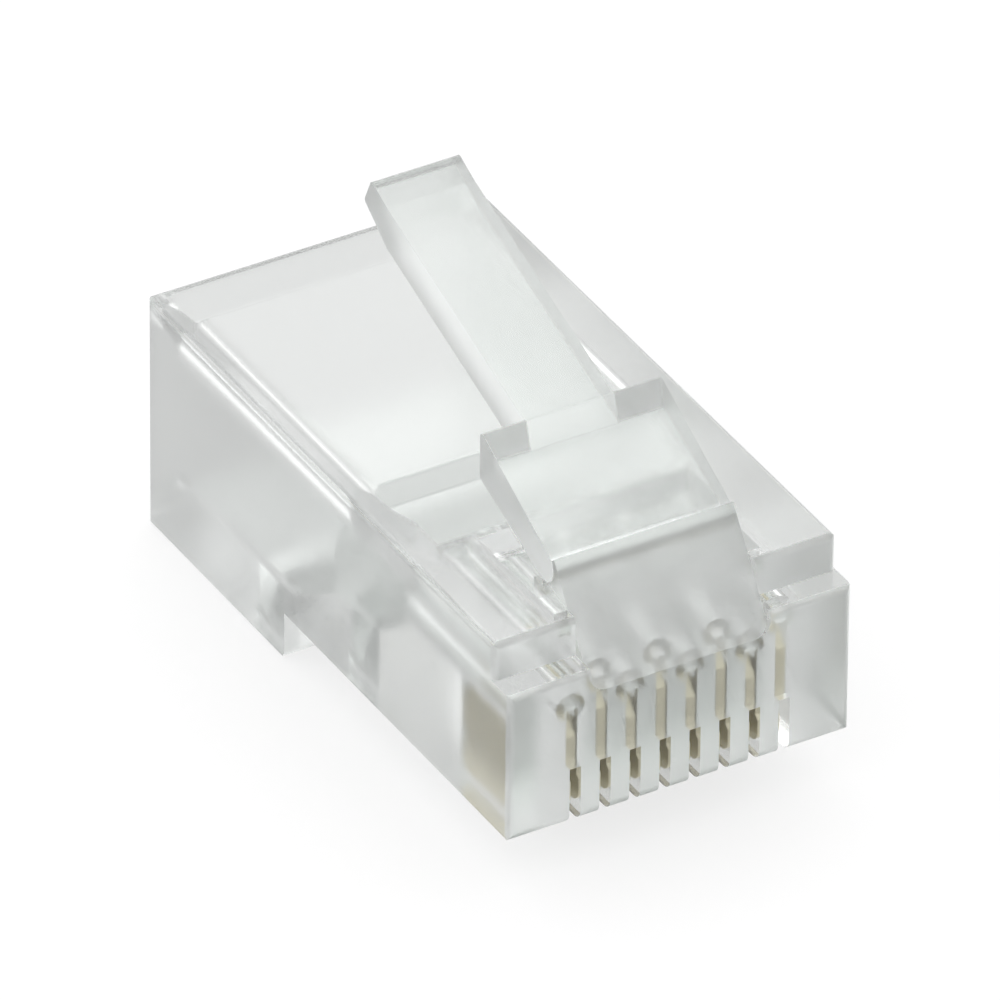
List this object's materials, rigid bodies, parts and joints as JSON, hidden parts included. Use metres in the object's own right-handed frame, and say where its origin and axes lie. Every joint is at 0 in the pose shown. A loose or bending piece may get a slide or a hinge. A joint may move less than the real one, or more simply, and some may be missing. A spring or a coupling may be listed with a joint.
{
  "type": "modular plug",
  "caption": "Clear uncrimped modular plug for network cable, with a sprung latch, gold-plated blades in a slotted nose and folding strain-relief bars.",
  "frame": {"origin": "under the middle of the plug, at the level of its lowest face", "axes": "+Y along the plug to the cable end, -Y the mating face, +Z to the latch side, -Z the blade side, +X to the right seen from the mating face"},
  "size_m": [0.0116, 0.022, 0.0144],
  "materials": {
    "clear_housing": "clear polycarbonate, moulded, faint green-grey tint",
    "gold_blade": "stamped phosphor bronze with thin gold plating"
  },
  "bodies": {
    "housing": {"housing": "clear_housing"},
    "latch_lever": {"latch_lever": "clear_housing"},
    "strain_relief_bar": {"strain_relief_bar": "clear_housing"},
    "conductor_bar": {"conductor_bar": "clear_housing"},
    "contact_1": {"contact_1": "gold_blade"},
    "contact_2": {"contact_2": "gold_blade"},
    "contact_3": {"contact_3": "gold_blade"},
    "contact_4": {"contact_4": "gold_blade"},
    "contact_5": {"contact_5": "gold_blade"},
    "contact_6": {"contact_6": "gold_blade"},
    "contact_7": {"contact_7": "gold_blade"},
    "contact_8": {"contact_8": "gold_blade"}
  },
  "joints": [
    {"name": "latch_press", "type": "hinge", "parent": "housing", "child": "latch_lever", "pos_m": [0, -0.0081, 0.009], "axis": [-1, 0, 0], "range_deg": [0, 20], "stiffness_Nm_per_rad": 0.1},
    {"name": "jacket_bar_fold", "type": "hinge", "parent": "housing", "child": "strain_relief_bar", "pos_m": [0, 0.0046, 0.0003], "axis": [-1, 0, 0], "range_deg": [0, 25]},
    {"name": "conductor_bar_fold", "type": "hinge", "parent": "housing", "child": "conductor_bar", "pos_m": [0, -0.00085, 0.0019], "axis": [-1, 0, 0], "range_deg": [0, 20]},
    {"name": "contact_1_crimp", "type": "slide", "parent": "housing", "child": "contact_1", "axis": [0, 0, 1], "range_m": [0, 0.00045]},
    {"name": "contact_2_crimp", "type": "slide", "parent": "housing", "child": "contact_2", "axis": [0, 0, 1], "range_m": [0, 0.00045]},
    {"name": "contact_3_crimp", "type": "slide", "parent": "housing", "child": "contact_3", "axis": [0, 0, 1], "range_m": [0, 0.00045]},
    {"name": "contact_4_crimp", "type": "slide", "parent": "housing", "child": "contact_4", "axis": [0, 0, 1], "range_m": [0, 0.00045]},
    {"name": "contact_5_crimp", "type": "slide", "parent": "housing", "child": "contact_5", "axis": [0, 0, 1], "range_m": [0, 0.00045]},
    {"name": "contact_6_crimp", "type": "slide", "parent": "housing", "child": "contact_6", "axis": [0, 0, 1], "range_m": [0, 0.00045]},
    {"name": "contact_7_crimp", "type": "slide", "parent": "housing", "child": "contact_7", "axis": [0, 0, 1], "range_m": [0, 0.00045]},
    {"name": "contact_8_crimp", "type": "slide", "parent": "housing", "child": "contact_8", "axis": [0, 0, 1], "range_m": [0, 0.00045]}
  ]
}
